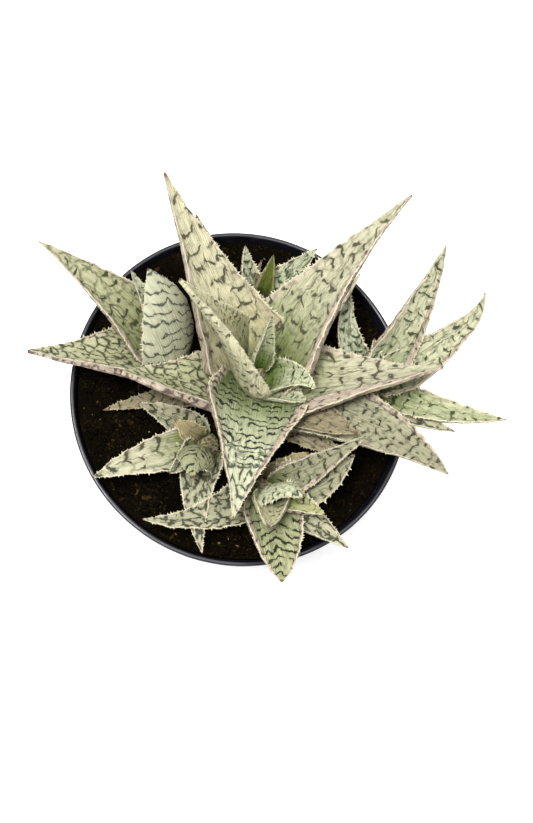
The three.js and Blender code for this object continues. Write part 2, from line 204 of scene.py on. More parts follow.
LEAVES = [
    Leaf("main_leaf_core", "heart", 136, 100, (6, 22.5, 172), (0, 0, 0), 11, 3, 150),
    Leaf("main_leaf_inner_east", "heart", 128, 330, (27, -5, 156), (-3, 7, 8), 17, 3, 90,
         roll=13, teeth=1.8),
    Leaf("main_leaf_inner_sheath", "heart", 129, 305, (25, -8, 146), (1, 0, -3), 20, 2.8, 120),
    Leaf("main_leaf_inner_west", "speckled", 126, 152, (-35, 34, 188), (-12, -2, 0), 42, 6.5, 105,
         roll=36, twist=17, taper=0),
    Leaf("main_leaf_south", "wavy", 128, 256, (-9, -61, 150), (4, 0, 8), 50, 6, 108,
         taper=-0.54, strips=(0.2, 0.12)),
    Leaf("main_leaf_north_east", "mottled", 125, 33, (64, 73, 190), (-4, 7, -3), 46, 7, 60,
         roll=-21, taper=-0.44, strips=(0, 0.16)),
    Leaf("main_leaf_east", "mottled", 122, 349, (81, 4, 166), (1, -2, -5), 43, 6, 57,
         roll=-6, twist=-34, taper=-0.1, teeth=1.4, strips=(0, 0.5)),
    Leaf("main_leaf_north_west", "zigzag", 122, 121, (-40, 83, 179), (-3, 2, 0), 46, 7, 97,
         roll=8, twist=4, taper=-0.36, strips=(0.2, 0)),
    Leaf("main_leaf_west", "netted", 116.5, 184, (-57, 2, 157), (0, 4, -3), 37, 7.5, 92,
         roll=8, twist=42, taper=0.2, strips=(0.3, 0)),
    Leaf("main_leaf_tucked", "mottled", 115.5, 20, (45, 44, 168), (2, -4, 0), 17, 3.6, 100, roll=-30),
    Leaf("main_leaf_old_grey", "faded", 115, 318, (47, -22, 146), (0, 0, 0), 24, 3, 60, taper=0.6),
    Leaf("main_leaf_south_east", "dashed", 115, 335, (83, -42, 160), (8, 13, -2), 34, 5.5, 80,
         taper=0.4, strips=(0.2, 0)),
    Leaf("main_leaf_old_dark", "faded", 113.5, 318, (44.5, -27.5, 125), (0, -4, 1), 24, 2.6, 60,
         taper=0.3),
    Leaf("main_leaf_old_west", "faded", 113.5, 190, (-62, -8, 121), (0, -3, 1), 15, 2.2, 60, taper=0.3),
    Leaf("main_leaf_north", "zigzag", 116, 114, (-24, 72, 156), (0, 5, 0), 32, 4, 90, taper=0.5),
    Leaf("west_leaf_striped", "ringed", 119, 335, (-46, 45, 163), (9, -6, 6), 43, 4, 110, taper=0.8),
    Leaf("west_leaf_slim", "blotched", 119, 130, (-52, 48, 150), (0, 0, 0), 12, 2.6, 100),
    Leaf("west_leaf_north_west", "grassy", 116, 146, (-92, 56, 162), (1, -5, 0), 33, 5, 72,
         roll=7, taper=-0.3, strips=(0.15, 0.1)),
    Leaf("west_leaf_long", "netted", 114.5, 190, (-96, 11, 152), (0, 2, 0), 41, 7, 84,
         roll=30, twist=8, taper=-0.2, strips=(0.3, 0)),
    Leaf("southwest_leaf_core", "budded", 121, 250, (-24, -40.5, 137), (0, -5, 8), 20, 3, 150,
         roll=180, taper=0.2),
    Leaf("southwest_leaf_small", "isles", 119, 215, (-34, -38, 133), (0, 0, 0), 14, 2.8, 100),
    Leaf("southwest_leaf_west", "mottled", 117, 195, (-67, -40, 132), (0, -3, 4), 20, 3.2, 80,
         taper=0.4),
    Leaf("southwest_leaf_south", "isles", 115.5, 280, (-19, -72, 126), (-4, -8, 10), 20, 3.6, 95,
         taper=0.1),
    Leaf("southwest_leaf_broad", "dashed", 115, 146, (-47, -6, 127), (0, -4, 3), 18, 3, 70),
    Leaf("southwest_leaf_dry", "papery", 119, 140, (-31, -13, 127), (0, 0, 3), 12, 2, 60, ripple=0.6),
    Leaf("south_leaf_hood", "heart", 127, 170, (22, -51, 146), (1, -5, 7), 20, 2.6, 110,
         roll=-55, taper=0.6),
    Leaf("south_leaf_core", "speckled", 126, 270, (6, -64, 152), (4, 0, 6), 18, 3, 140),
    Leaf("south_leaf_inner", "limed", 124, 335, (32, -57, 144), (0, 0, 1), 16, 3.2, 100, roll=-20),
    Leaf("south_leaf_front", "chevron", 122, 273, (13, -86, 142), (6, 1, 4), 28, 3.8, 90,
         taper=0.6, strips=(0.1, 0.2)),
    Leaf("south_leaf_east", "dashed", 121, 30, (48, -25, 157), (0, -2, -2), 15.5, 3.6, 100,
         taper=0.3, strips=(0, 0.3)),
    Leaf("south_leaf_south_east", "isles", 118, 320, (44, -70, 133), (0, 0, 3), 18, 3.4, 80, taper=0.3),
    Leaf("south_leaf_west", "isles", 118, 194, (-46, -58, 134), (2, 10, 3), 20, 3.8, 78, taper=-0.1),
    Leaf("south_leaf_under", "dashed", 116.5, 15, (46, -30, 142), (0, -11, 0), 25, 3.6, 80,
         taper=0.4, teeth=3),
    Leaf("south_leaf_crumpled", "papery", 116, 60, (29, -26, 124), (0, 0, 3), 15, 2.6, 90,
         taper=0.4, ripple=0.7),
    Leaf("east_leaf_small", "blotched", 125, 120, (57, 23, 138), (0, 0, 0), 11, 2.6, 120),
    Leaf("east_leaf_north", "frosted", 121, 73, (79, 52, 186), (2, -5, -1), 20, 4.6, 100,
         taper=0.2, strips=(0, 0.3)),
    Leaf("east_leaf_hooked", "frosted", 121, 42, (99, 36, 171), (8, -12, 3), 20, 4.4, 92,
         taper=0.1, hook=2.5, strips=(0, 0.2)),
    Leaf("east_leaf_long", "leafy", 117.5, 335, (113, -15, 148), (4, -4, 1), 15, 4, 78, taper=0.35),
    Leaf("east_leaf_low", "isles", 115.5, 316, (93, -18, 135), (0, -4, 2), 14, 3, 70),
    Leaf("east_leaf_behind", "blotched", 116, 114, (45, 46, 148), (0, 10, 0), 16, 3.6, 80),
    Leaf("north_leaf_green", "plain_green", 121, 80, (12.5, 60, 138), (0, 0, 0), 8, 2.6, 100,
         teeth=0.5),
    Leaf("north_leaf_dried", "dried", 119.5, 105, (7, 55.5, 127), (0, 1, 1), 7, 1.6, 80),
    Leaf("north_leaf_west", "blotched", 118, 125, (0, 64, 138), (0, 3, 0), 11, 2.8, 80, taper=0.4),
    Leaf("north_leaf_east", "blotched", 117, 42, (32, 63, 140), (0, 0, 0), 16, 3, 80, taper=0.3),
    Leaf("north_leaf_thin", "faded", 114.5, 115, (9.4, 61, 127), (0, 5, -2), 6, 1.8, 40),
]


def srgb(red, green, blue):
    """A linear colour from the 0 to 255 numbers that a paint chart gives."""
    def linear(value):
        share = value / 255
        return share / 12.92 if share <= 0.04045 else ((share + 0.055) / 1.055) ** 2.4
    return (linear(red), linear(green), linear(blue), 1.0)


class Paint:
    """A node material, written as a chain of calls. Each call gives back an output to feed on."""

    def __init__(self, name):
        self.material = bpy.data.materials.new(name)
        self.material.use_nodes = True
        self.tree = self.material.node_tree
        self.tree.nodes.clear()

    def feed(self, socket, value):
        if isinstance(value, bpy.types.NodeSocket):
            self.tree.links.new(value, socket)
        else:
            socket.default_value = value

    def add(self, kind, inputs, **settings):
        node = self.tree.nodes.new("ShaderNode" + kind)
        for key, value in settings.items():
            setattr(node, key, value)
        for key, value in inputs.items():
            self.feed(node.inputs[key], value)
        return node

    def attribute(self, name):
        return self.add("Attribute", {}, attribute_name=name).outputs["Vector"]

    def split(self, vector):
        node = self.add("SeparateXYZ", {"Vector": vector})
        return node.outputs["X"], node.outputs["Y"], node.outputs["Z"]

    def join(self, x, y, z=0.0):
        return self.add("CombineXYZ", {"X": x, "Y": y, "Z": z}).outputs["Vector"]

    def maths(self, operation, *values, clamp=False):
        inputs = dict(enumerate(values))
        return self.add("Math", inputs, operation=operation, use_clamp=clamp).outputs["Value"]

    def most(self, one, other):
        return self.maths("MAXIMUM", one, other)

    def times_plus(self, value, factor, plus):
        return self.maths("MULTIPLY_ADD", value, factor, plus)

    def times(self, one, *others):
        for other in others:
            one = self.maths("MULTIPLY", one, other)
        return one

    def noise(self, vector, scale, detail=3.0, roughness=0.5):
        inputs = {"Vector": vector, "Scale": scale, "Detail": detail, "Roughness": roughness}
        return self.add("TexNoise", inputs).outputs["Fac"]

    def cell_border(self, vector, randomness=0.85):
        """How far a point is from the border of the random cell it lies in."""
        inputs = {"Vector": vector, "Scale": 1.0, "Randomness": randomness}
        node = self.add("TexVoronoi", inputs, feature="DISTANCE_TO_EDGE", voronoi_dimensions="2D")
        return node.outputs["Distance"]

    def ease(self, value, low, high, start=0.0, end=1.0):
        """Goes smoothly from start to end as value goes from low to high."""
        inputs = {"Value": value, "From Min": low, "From Max": high, "To Min": start, "To Max": end}
        return self.add("MapRange", inputs, interpolation_type="SMOOTHSTEP").outputs["Result"]

    def mix(self, share, one, two, blend="MIX"):
        node = self.add("Mix", {0: share, 6: one, 7: two}, data_type="RGBA", blend_type=blend)
        return node.outputs[2]

    def bump(self, height, strength, distance):
        inputs = {"Height": height, "Strength": strength, "Distance": distance}
        return self.add("Bump", inputs).outputs["Normal"]

    def finish(self, **inputs):
        named = {key.replace("_", " "): value for key, value in inputs.items()}
        shader = self.add("BsdfPrincipled", named)
        output = self.add("OutputMaterial", {"Surface": shader.outputs["BSDF"]})
        output.is_active_output = True
        return self.material


def new_piece(name, points, faces, material, replaced=(), attributes=None):
    """A smooth mesh from points in millimetres, riding on the one body of the plant."""
    mesh = bpy.data.meshes.new(name)
    mesh.from_pydata((np.asarray(points) * METRE).tolist(), [], faces)
    mesh.polygons.foreach_set("use_smooth", [True] * len(mesh.polygons))
    for key, values in (attributes or {}).items():
        layer = mesh.attributes.new(key, "FLOAT_VECTOR", "POINT")
        layer.data.foreach_set("vector", np.asarray(values, np.float32).ravel())
    mesh.materials.append(material)
    piece = bpy.data.objects.new(name, mesh)
    bpy.context.scene.collection.objects.link(piece)
    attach(piece, "root")
    if replaced:
        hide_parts(*replaced)
    return piece


def unit(vectors):
    return vectors / np.linalg.norm(vectors, axis=-1, keepdims=True)


def smooth(share):
    share = np.clip(share, 0, 1)
    return share * share * (3 - 2 * share)


def band(here, there, size):
    """Quads between two rings of points, each of which starts at the index given."""
    after = [(i + 1) % size for i in range(size)]
    return [(here + i, here + after[i], there + after[i], there + i) for i in range(size)]


def closed_faces(rings, size):
    """Faces over a first point, a number of rings and a last point."""
    faces = [(0, 1 + (i + 1) % size, 1 + i) for i in range(size)]
    last = 1 + (rings - 1) * size
    for here in range(1, last, size):
        faces += band(here, here + size, size)
    return faces + [(last + i, last + (i + 1) % size, last + size) for i in range(size)]


class Waves:
    """Soft random waves over a blade, of about one height. The same ones at every call."""

    def __init__(self, random, across, along, count=7):
        turns = random.uniform(0, math.tau, count)
        reach = random.uniform(0.6, 1.6, count)
        self.x = np.cos(turns) * math.tau / (across * reach)
        self.y = np.sin(turns) * math.tau / (along * reach)
        self.phase = random.uniform(0, math.tau, count)

    def __call__(self, across, along):
        total = 0
        for x, y, phase in zip(self.x, self.y, self.phase):
            total = total + np.sin(across * x + along * y + phase)
        return total / math.sqrt(len(self.x))


# The leaf's middle line and the frame around it
def stem_radius(stem, rise):
    past = max(rise - STEM_SHOULDER, 0) / (1 - STEM_SHOULDER)
    return STEMS[stem][2] * (1 + (STEM_TOP_SHARE - 1) * past)


def width_share(along, taper):
    base = BASE_SHARE + (1 - BASE_SHARE) * smooth(along / WIDEST_AT)
    rest = (along - WIDEST_AT) / (1 - WIDEST_AT)
    return np.where(along < WIDEST_AT, base, (1 - rest) * (1 + taper * rest))


def arch(root, middle, tip, share):
    """Points of the curve from root to tip that leans towards middle."""
    return root * (1 - share) ** 2 + middle * 2 * share * (1 - share) + tip * share ** 2


class Blade:
    """The frame and section of a leaf at an array of shares of its length.

    Shares below zero are the foot of the leaf, which turns down and clasps the stem.
    """

    def __init__(self, leaf, along):
        stem = leaf.name.split("_leaf_")[0]
        foot, head, _ = STEMS[stem]
        face = math.radians(leaf.face)
        out = np.array([math.cos(face), math.sin(face), 0.0])
        left = np.array([-math.sin(face), math.cos(face), 0.0])
        rise = (leaf.seat - SOIL_EDGE) / (head[2] - SOIL_EDGE)
        root = np.array([*foot, SOIL_EDGE], float)
        root = root + (np.array(head, float) - root) * rise + out * ROOT_REACH * stem_radius(stem, rise)
        tip = np.array(leaf.tip, float)
        middle = (root + tip) / 2 + out * leaf.bow[0] + left * leaf.bow[1] + UP * leaf.bow[2]
        inside = np.clip(along, 0, 1)
        t = inside[:, None]
        self.centre = arch(root, middle, tip, t)
        self.tangent = unit((middle - root) * 2 * (1 - t) + (tip - middle) * 2 * t)
        flat_left = unit(left - self.tangent * (self.tangent @ left)[:, None])
        flat_up = np.cross(self.tangent, flat_left)
        roll = np.radians(leaf.roll + leaf.twist * inside)[:, None]
        self.left = flat_left * np.cos(roll) + flat_up * np.sin(roll)
        self.inner = flat_up * np.cos(roll) - flat_left * np.sin(roll)
        bend = smooth((inside - HOOK_FROM) / (1 - HOOK_FROM)) * (1 - inside) * HOOK_GAIN
        self.centre = self.centre - flat_left * (leaf.hook * bend)[:, None]
        share = width_share(inside, leaf.taper)
        self.wide = leaf.wide * share
        self.wrap = np.radians(leaf.curl * (1 - (1 - CURL_LEFT_AT_TIP) * inside))
        self.edge = EDGE_THICKNESS * np.clip(EDGE_LEFT_AT_TIP + EDGE_GAIN * share, 0, 1)
        thick = leaf.thick * (TIP_THICKNESS_SHARE + (1 - TIP_THICKNESS_SHARE) * share)
        self.fullness = np.maximum(thick - EDGE_THICKNESS, 0)
        self.bulge = SIDE_BULGE * leaf.thick * share
        foot_share = np.clip(-along / FOOT_SHARE, 0, 1)[:, None]
        drop = min(FOOT_DROP, leaf.seat - SOIL_EDGE + 1)
        self.centre = self.centre - self.tangent * FOOT_BACK * foot_share
        self.centre = self.centre - UP * drop * foot_share ** FOOT_BEND
        self.wide = self.wide * (1 - FOOT_NARROWING * foot_share[:, 0])
        fine = np.linspace(0, 1, LINE_STEPS)[:, None]
        line = arch(root, middle, tip, fine)
        travelled = np.concatenate([[0], np.cumsum(np.linalg.norm(np.diff(line, axis=0), axis=1))])
        self.length = travelled[-1]
        self.distance = np.interp(inside, fine[:, 0], travelled) + np.minimum(along, 0) * self.length

    def upper(self, side):
        """Points of the channelled upper face, its normals and sideways directions.

        side holds one row per share of the length, from -1 on the right margin to 1 on the left.
        """
        angle = (side * self.wrap[:, None] / 2)[..., None]
        bend = (self.wide / self.wrap)[:, None, None]
        left, inner = self.left[:, None, :], self.inner[:, None, :]
        point = self.centre[:, None, :] + left * bend * np.sin(angle)
        point = point + inner * bend * (1 - np.cos(angle))
        normal = inner * np.cos(angle) - left * np.sin(angle)
        sideways = left * np.cos(angle) + inner * np.sin(angle)
        return point, normal, sideways


class Relief:
    """The unevenness of one leaf: long furrows, gentle ripples and a ragged margin."""

    def __init__(self, leaf, random, length):
        self.size = leaf.ripple
        self.length = length
        self.ripples = Waves(random, *RIPPLES)
        self.furrows = Waves(random, *FURROWS)
        self.fine = Waves(random, *FINE_LINES)
        self.jags = Waves(random, *JAGS)

    def height(self, across, side, distance):
        fade = smooth((self.length - distance) / CALM_TIP)
        fade = fade * (0.45 + 0.55 * smooth(distance / CALM_ROOT))
        gentle = self.ripples(across, distance) * (0.3 + 0.7 * side ** 2)
        furrows = FURROW_SHARE * self.furrows(across, distance)
        return self.size * fade * (gentle + furrows + FINE_SHARE * self.fine(across, distance))

    def spread(self, side, distance, wide):
        """The side shares, pushed in and out at the margins."""
        jag = JAG_SHARE * self.size * self.jags(9 * np.sign(side), distance)
        jag = jag * smooth((self.length - distance) / 8)
        return side * (1 + jag / np.maximum(wide / 2, 1) * np.abs(side) ** 6)


def leaf_rings(leaf, blade, relief):
    """The rings of a leaf, with what its markings need: place on the blade, and shares of it."""
    distance, wide = blade.distance[:, None], blade.wide[:, None]
    rings, places, shares = [], [], []

    def keep(point, side, layer):
        across = side * wide / 2
        none = 0 * across
        rings.append(point)
        places.append(np.stack([across, distance + none, layer + none], -1))
        shares.append(np.stack([np.abs(side) + none, distance / blade.length + none, none], -1))

    def face(side):
        side = side[None, :] + 0 * wide
        point, normal, sideways = blade.upper(relief.spread(side, distance, wide))
        lift = relief.height(side * wide / 2, side, distance)
        return side, point + normal * lift[..., None], normal, sideways

    side, point, _, _ = face(np.linspace(-1, 1, LEAF_UPPER_COLUMNS))
    keep(point, side, 0)
    half = blade.edge[:, None, None] / 2
    for sign in (1, -1):
        side, point, normal, sideways = face(np.array([float(sign)]))
        for degrees in LEAF_EDGE_ANGLES[::sign]:
            angle = math.radians(degrees)
            outward = sideways * sign * math.sin(angle) + normal * (math.cos(angle) - 1)
            keep(point + outward * half, side, float(degrees > 90))
        if sign > 0:
            side, point, normal, sideways = face(np.linspace(1, -1, LEAF_LOWER_COLUMNS))
            depth = blade.edge[:, None] + blade.fullness[:, None] * np.sqrt(np.maximum(1 - side ** 2, 0))
            bulge = blade.bulge[:, None] * side * np.abs(side) * (1 - side ** 2) * 4
            keep(point - normal * depth[..., None] + sideways * bulge[..., None], side, 1)
    return [np.concatenate(parts, axis=1) for parts in (rings, places, shares)]


def leaf_faces(rings, size):
    """Quads between the rings, a fan to the tip, and one face that closes the foot."""
    faces = []
    for ring in range(rings - 1):
        faces += band(ring * size, (ring + 1) * size, size)
    last = (rings - 1) * size
    faces += [(last + i, last + (i + 1) % size, rings * size) for i in range(size)]
    faces.append(tuple(range(size - 1, -1, -1)))
    return faces


def tooth_shape(base, out, along, normal, height):
    """A small hooked spine on the margin: its points and faces."""
    half_base, half_thick = 0.36 * height + 0.24, 0.12 * height + 0.13
    points = []
    for reach, size in ((-TOOTH_SINK, 1.0), (TOOTH_WAIST * height, TOOTH_WAIST)):
        for i in range(TOOTH_SIDES):
            angle = i * math.tau / TOOTH_SIDES
            ahead = half_base * size * math.cos(angle) + 0.2 * max(reach, 0)
            point = base + out * reach + along * ahead
            points.append(point + normal * half_thick * size * math.sin(angle))
    points.append(base + out * height + along * TOOTH_HOOK * height)
    faces = [tuple(range(TOOTH_SIDES))]
    for i in range(TOOTH_SIDES):
        after = (i + 1) % TOOTH_SIDES
        faces.append((i, TOOTH_SIDES + i, TOOTH_SIDES + after, after))
        faces.append((TOOTH_SIDES + i, 2 * TOOTH_SIDES, TOOTH_SIDES + after))
    return points, faces


def leaf_teeth(leaf, relief, length, random, first):
    """The teeth along both margins; first is the index of their first point."""
    points, faces, places = [], [], []
    even = np.linspace(0, 1, LINE_STEPS)
    table = Blade(leaf, even)
    for sign in (-1, 1):
        spots = []
        distance = random.uniform(1, 3)
        while distance < TEETH_END * length:
            spots.append(distance)
            distance += TOOTH_SPACING * random.uniform(*TOOTH_GAPS) * (0.7 + 0.3 * leaf.teeth)
        blade = Blade(leaf, np.interp(spots, table.distance, even))
        reach, wide = blade.distance[:, None], blade.wide[:, None]
        side = sign + 0 * wide
        point, normal, sideways = blade.upper(relief.spread(side, reach, wide))
        lift = relief.height(side * wide / 2, side, reach)
        point = point + normal * (lift - blade.edge[:, None] / 2)[..., None]
        for i, spot in enumerate(spots):
            height = leaf.teeth * random.uniform(*TOOTH_HEIGHTS) * (1 - 0.5 * spot / length)
            out = unit(sign * sideways[i, 0] + random.uniform(*TOOTH_LEANS) * normal[i, 0])
            along = blade.tangent[i] * random.choice(TOOTH_HOOKS)
            shape, quads = tooth_shape(point[i, 0], out, along, normal[i, 0], height)
            start = first + len(points)
            points += shape
            faces += [tuple(start + k for k in quad) for quad in quads]
            places += [(sign * wide[i, 0] / 2, spot, 0.0)] * len(shape)
    return points, faces, places


def leaf_mesh(leaf, random):
    length = Blade(leaf, np.array([0.0, 1.0])).length
    relief = Relief(leaf, random, length)
    count = max(LEAST_RINGS, int(length / LEAF_STEP))
    foot = np.linspace(-FOOT_SHARE, 0, FOOT_RINGS)[:-1]
    along = np.concatenate([foot, np.linspace(0, LAST_RING, count)])
    ring, place, share = leaf_rings(leaf, Blade(leaf, along), relief)
    rings, size = ring.shape[:2]
    points = np.concatenate([ring.reshape(-1, 3), [leaf.tip]])
    places = np.concatenate([place.reshape(-1, 3), [[0, length, 0]]])
    shares = np.concatenate([share.reshape(-1, 3), [[0, 1, 0]]])
    faces = leaf_faces(rings, size)
    spines, spine_faces, spine_places = leaf_teeth(leaf, relief, length, random, len(points))
    points = np.concatenate([points, spines])
    places = np.concatenate([places, spine_places])
    shares = np.concatenate([shares, [(1, spot[1] / length, 1) for spot in spine_places]])
    return points, faces + spine_faces, {"leaf_place": places, "leaf_share": shares}


# How the leaves are marked: 0 to 255 colours, and lengths in millimetres on the blade
# The deepest green near the root is partly the leaf's own colour and partly painted shade of the
# rosette's hollow
LOOK_COLOURS = ("pale", "green", "deep_green_and_shade", "line", "soft", "margin", "point", "furrow_shade_and_streak", "under",
                "under_line")
# The darker streaks along a leaf are partly its own fine lines and partly painted shade in its furrows
PLAIN_LOOK = dict(
    pale=(198, 193, 162), green=(150, 155, 114), deep_green_and_shade=(74, 90, 30), line=(60, 62, 44),
    soft=(128, 129, 98), margin=(204, 198, 168), point=(104, 80, 54), furrow_shade_and_streak=(118, 104, 68),
    under=(196, 181, 160), under_line=(94, 78, 74), cell=(3.4, 6.6), line_width=0.15, net=0.4,
    cover=0.5, turn=(-0.2, -0.1), vee=0.0, row_gap=5.0, row_half=0.65, swing=1.4, wave=2.4, stroke=2.6,
    missing=0.5, ties=0.7, rows=0.95, row_end=(1.0, 1.1), soft_share=0.4, blotches=0.0,
    green_reach=0.55, deep_green_and_shade_reach=0.2, middle_green=0.2, furrow_shade_and_streaks=0.35, veil=0.2, skew=0.0, strip=0.45,
    point_length=1.5, gloss=0.5,
)
LOOKS = {
    "zigzag": dict(
        pale=(210, 204, 171), green=(184, 178, 136), deep_green_and_shade=(104, 106, 56), line=(72, 67, 52),
        cell=(6.0, 9.0), net=0.25, row_gap=8.4, row_half=1.1, swing=2.6, wave=3.2, stroke=5.0,
        missing=0.48, furrow_shade_and_streaks=0.7, veil=0.15, point=(124, 84, 42), point_length=5),
    "mottled": dict(
        pale=(200, 197, 168), green=(132, 140, 90), deep_green_and_shade=(90, 108, 30), line=(66, 64, 46),
        cell=(4.6, 8.0), net=0.35, row_gap=7.6, row_half=1.2, swing=2.8, wave=3.4, stroke=4.2,
        missing=0.49, furrow_shade_and_streaks=0.45, green_reach=0.6, deep_green_and_shade_reach=0.3, strip=0.7, under=(206, 189, 170),
        under_line=(100, 78, 74)),
    "grassy": dict(
        pale=(196, 194, 158), green=(134, 142, 90), deep_green_and_shade=(84, 98, 36), line=(56, 58, 32),
        cell=(4.4, 6.4), net=0.55, row_gap=6.4, row_half=1.0, swing=2.4, wave=3.0, stroke=4.0,
        missing=0.48, veil=0.35, green_reach=0.85, deep_green_and_shade_reach=0.3),
    "netted": dict(
        pale=(200, 200, 160), green=(152, 158, 108), line=(46, 48, 28), cell=(3.6, 6.2),
        line_width=0.19, net=0.9, cover=0.44, row_gap=5.2, missing=0.53, strip=0.6, veil=0.3,
        under=(208, 190, 172), under_line=(98, 78, 74)),
    "wavy": dict(
        pale=(206, 208, 177), green=(116, 128, 82), deep_green_and_shade=(74, 88, 38), line=(24, 36, 26),
        cell=(3.2, 7.5), line_width=0.19, net=0.9, cover=0.44, turn=(0.42, 0.6), row_gap=2.9,
        row_half=0.56, swing=0.8, wave=2.2, stroke=6.0, missing=0.42, ties=0.3, rows=1.0,
        row_end=(0.5, 0.66), soft_share=0.3, green_reach=0.72, deep_green_and_shade_reach=0.3, strip=0.9),
    "speckled": dict(
        pale=(206, 200, 160), line=(66, 68, 46), cell=(3.4, 5.6), net=0.3, row_gap=4.4, row_half=0.7,
        swing=1.2, wave=2.0, stroke=2.4, ties=0.5, under=(206, 202, 166), under_line=(74, 76, 58)),
    "dashed": dict(
        pale=(165, 162, 134), green=(128, 130, 98), line=(50, 54, 36), cell=(3.4, 5.4), net=0.45,
        row_gap=4.8, row_half=0.95, wave=2.2, stroke=2.8, missing=0.48, ties=0.6, soft_share=0.5,
        margin=(188, 182, 154)),
    "isles": dict(
        pale=(185, 182, 152), green=(112, 120, 88), line=(42, 46, 32), cell=(3.2, 7.0), line_width=0.2,
        net=0.9, cover=0.44, row_gap=4.6, missing=0.52, soft_share=0.55, veil=0.3),
    "chevron": dict(
        pale=(173, 176, 135), green=(126, 134, 88), line=(34, 42, 20), vee=-0.75, net=0.3,
        cell=(4.0, 6.0), row_gap=4.6, row_half=0.85, swing=0.8, wave=2.2, stroke=6.0, missing=0.43,
        ties=0.3, rows=1.0, strip=0.7),
    "ringed": dict(
        under=(188, 189, 160), under_line=(80, 84, 76), vee=0.3, net=0.0, row_gap=5.2, row_half=0.58,
        swing=1.6, wave=3.4, stroke=6.0, missing=0.43, ties=0.2, rows=1.0, veil=0.1, skew=0.9),
    "budded": dict(
        under=(150, 152, 116), under_line=(44, 50, 36), vee=-0.9, net=0.0, row_gap=2.8, row_half=0.46,
        swing=0.5, wave=2.0, stroke=4.0, missing=0.44, ties=0.1, rows=1.0),
    "blotched": dict(
        pale=(200, 203, 175), green=(126, 142, 98), line=(38, 60, 26), row_gap=4.4, row_half=1.0,
        swing=1.8, missing=0.49, blotches=0.7),
    "frosted": dict(
        pale=(214, 212, 179), green=(150, 162, 118), line=(54, 64, 38), net=0.45, cell=(3.2, 6.6),
        row_gap=5.4, row_half=0.9, swing=1.6, missing=0.49, strip=0.7),
    "leafy": dict(
        pale=(187, 191, 152), green=(126, 142, 84), deep_green_and_shade=(90, 114, 44), line=(44, 60, 30), net=0.3,
        row_gap=5.6, row_half=0.8, blotches=0.3),
    "heart": dict(
        pale=(206, 210, 173), green=(146, 160, 104), deep_green_and_shade=(92, 120, 32), line=(38, 58, 38),
        cell=(2.6, 4.4), net=0.3, row_gap=2.9, row_half=0.45, swing=0.6, wave=1.4, stroke=3.0,
        missing=0.49, green_reach=0.68, deep_green_and_shade_reach=0.48, under=(198, 202, 168), under_line=(54, 68, 52)),
    "limed": dict(
        pale=(189, 189, 139), green=(150, 158, 86), deep_green_and_shade=(96, 112, 30), line=(50, 62, 30), net=0.3,
        row_gap=3.4, row_half=0.5, swing=0.8, green_reach=0.8, deep_green_and_shade_reach=0.5),
    "plain_green": dict(
        pale=(87, 102, 25), green=(62, 76, 16), deep_green_and_shade=(36, 46, 10), line=(64, 50, 22), net=0.3, rows=0.3,
        margin=(104, 108, 52), gloss=0.32),
    "faded": dict(
        pale=(150, 140, 112), green=(112, 104, 78), deep_green_and_shade=(66, 60, 38), line=(58, 50, 36),
        margin=(160, 148, 118), under=(138, 128, 102), net=0.5, furrow_shade_and_streaks=0.9, point=(108, 76, 50),
        point_length=3),
    "papery": dict(
        pale=(156, 144, 108), green=(112, 103, 70), deep_green_and_shade=(66, 58, 34), line=(60, 50, 34),
        margin=(176, 163, 124), under=(138, 126, 92), under_line=(64, 54, 38), net=0.0, furrow_shade_and_streaks=1.0,
        furrow_shade_and_streak=(74, 62, 38), rows=0.4, point_length=2),
    "dried": dict(
        pale=(116, 100, 69), green=(74, 65, 40), deep_green_and_shade=(34, 29, 18), line=(36, 29, 20),
        margin=(138, 122, 90), under=(102, 87, 60), under_line=(44, 36, 26), net=0.3, furrow_shade_and_streaks=1.0,
        point_length=3),
}


def leaf_rows(paint, look, x, y):
    """Scalloped dark strokes in rows across the leaf, with ties along it at their cusps."""
    turn = paint.times(paint.maths("PINGPONG", x, look["wave"]), 1 / look["wave"])
    bend = paint.times(turn, turn, -look["swing"])
    row = paint.times(paint.maths("ADD", y, bend), 1 / look["row_gap"])
    number = paint.times(paint.maths("FLOOR", row), 7.3)
    away = paint.maths("ABSOLUTE", paint.maths("SUBTRACT", paint.maths("FRACT", row), 0.5))
    away = paint.times(away, look["row_gap"])
    here = paint.noise(paint.join(paint.times(x, 1 / look["stroke"]), number), 1.0, 1.0)
    there = paint.noise(paint.join(paint.times(x, 0.9), number, 5.0), 1.0, 2.0)
    here = paint.ease(here, look["missing"] - 0.03, look["missing"] + 0.05)
    half = paint.ease(there, 0.3, 0.7, 0.5 * look["row_half"], 1.5 * look["row_half"])
    reach = paint.maths("DIVIDE", away, half)
    at_cusp = paint.ease(turn, 0.82, 0.94)
    tie = paint.times(at_cusp, paint.ease(reach, 4.0, 2.5), paint.ease(there, 0.48, 0.54), look["ties"])
    stroke = paint.most(paint.times(paint.ease(reach, 1.1, 0.4), here), tie)
    return stroke, paint.times(paint.ease(reach, 3.2, 0.5), here)


# How far apart the two faces of a leaf and the leaves lie in the noise that marks them
FACES_APART = 61.0
LEAVES_APART = 23.0
FIRST_PLACE = 100
DRIFT_SCALES = (0.11, 0.13, 0.45, 0.5)


